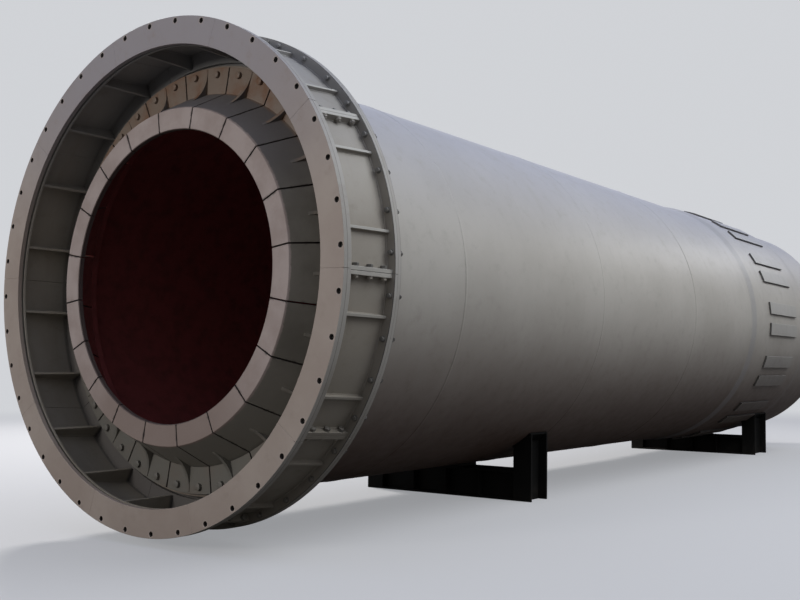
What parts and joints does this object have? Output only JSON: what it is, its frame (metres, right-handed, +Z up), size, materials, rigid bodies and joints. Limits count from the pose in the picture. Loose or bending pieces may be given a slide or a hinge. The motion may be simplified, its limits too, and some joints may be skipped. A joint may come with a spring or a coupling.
{
  "type": "rotary kiln shell section",
  "caption": "Discharge-end section of a rotary kiln: welded shell with tyre seat, cast nose segments and a bolted, ribbed air cowl, resting on two saddles.",
  "frame": {"origin": "on the ground under the middle of the section", "axes": "+X along the kiln's axis from the mouth to the far end, +Z up"},
  "size_m": [10.2, 3.2858, 3.343],
  "materials": {
    "shell": "satin warm grey primer paint on rolled plate",
    "pads": "satin warm grey primer paint on flat filler plates",
    "inside": "matte dark red primer",
    "castings": "grey primer on a rough casting",
    "mouth": "satin grey primer on flame-cut plate",
    "cowl": "satin greenish grey primer",
    "saddles": "satin black paint, scuffed"
  },
  "bodies": {
    "root": {"shell_course_1": "shell", "shell_course_2": "shell", "shell_course_3": "shell", "shell_course_4": "shell", "tyre_seat_course": "shell", "shell_end_course": "shell", "tyre_pads": "pads", "nose_seat_ring": "inside", "nose_castings_top": "castings", "nose_castings_right": "castings", "nose_castings_bottom": "castings", "nose_castings_left": "castings", "shell_flange": "cowl", "mouth_ring": "mouth", "cowl_rear_ring": "cowl", "cowl_wall": "cowl", "cowl_outer_ribs": "cowl", "cowl_inner_ribs": "cowl", "cowl_split_flanges": "cowl", "cowl_front_flange": "cowl", "front_saddle_beams": "saddles", "front_saddle_stiffeners": "saddles", "front_saddle_posts": "saddles", "front_saddle_seats": "saddles", "rear_saddle_beams": "saddles", "rear_saddle_stiffeners": "saddles", "rear_saddle_posts": "saddles", "rear_saddle_seats": "saddles"}
  },
  "joints": []
}
